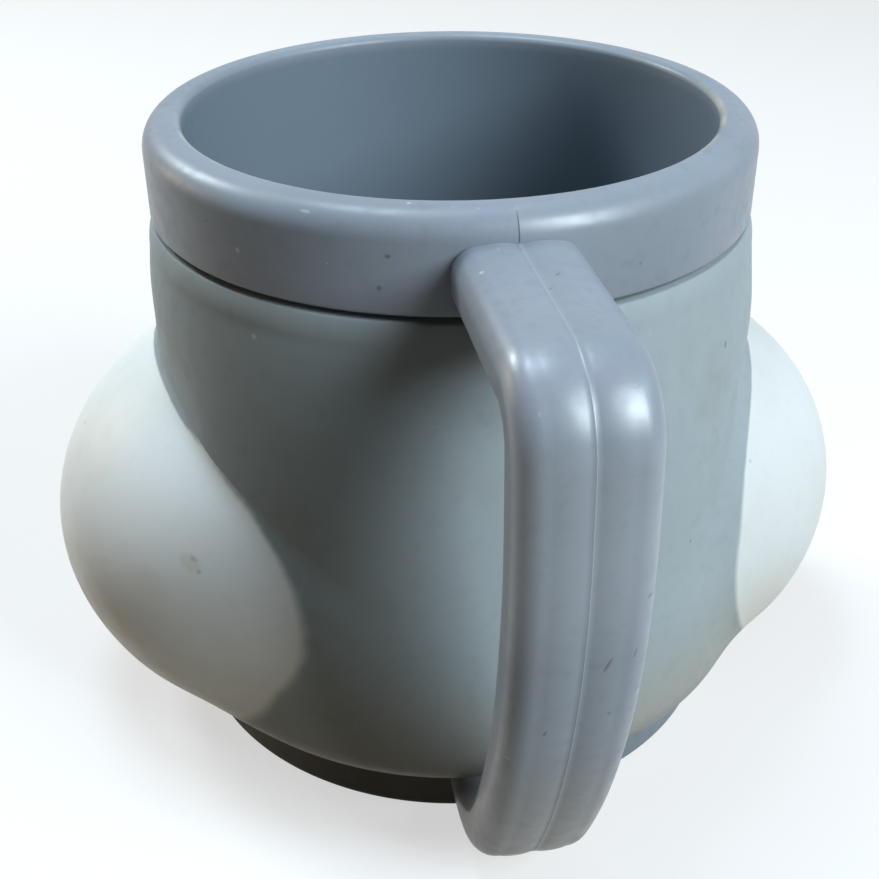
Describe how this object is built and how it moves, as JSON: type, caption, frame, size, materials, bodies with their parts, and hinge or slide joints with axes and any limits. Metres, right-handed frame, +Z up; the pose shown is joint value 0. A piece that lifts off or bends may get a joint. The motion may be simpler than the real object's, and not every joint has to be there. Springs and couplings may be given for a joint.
{
  "type": "mug",
  "caption": "Plastic mug with an inner cup, a flared outer shell that carries rounded side lobes, a foot ring and a broad bar handle from collar to foot.",
  "frame": {"origin": "centre of the base's flat underside, on the table", "axes": "+Z up along the cup's axis, -Y towards the handle, -X towards the left lobe as seen from the handle side"},
  "size_m": [0.1232, 0.1228, 0.092],
  "materials": {
    "cup_plastic": "satin moulded blue-grey plastic",
    "shell_plastic": "matt moulded grey plastic",
    "lobe_plastic": "white satin plastic"
  },
  "bodies": {
    "root": {"inner_cup": "cup_plastic", "outer_shell": "shell_plastic", "left_lobe": "lobe_plastic", "right_lobe": "lobe_plastic", "handle": "cup_plastic", "base": "cup_plastic"}
  },
  "joints": []
}
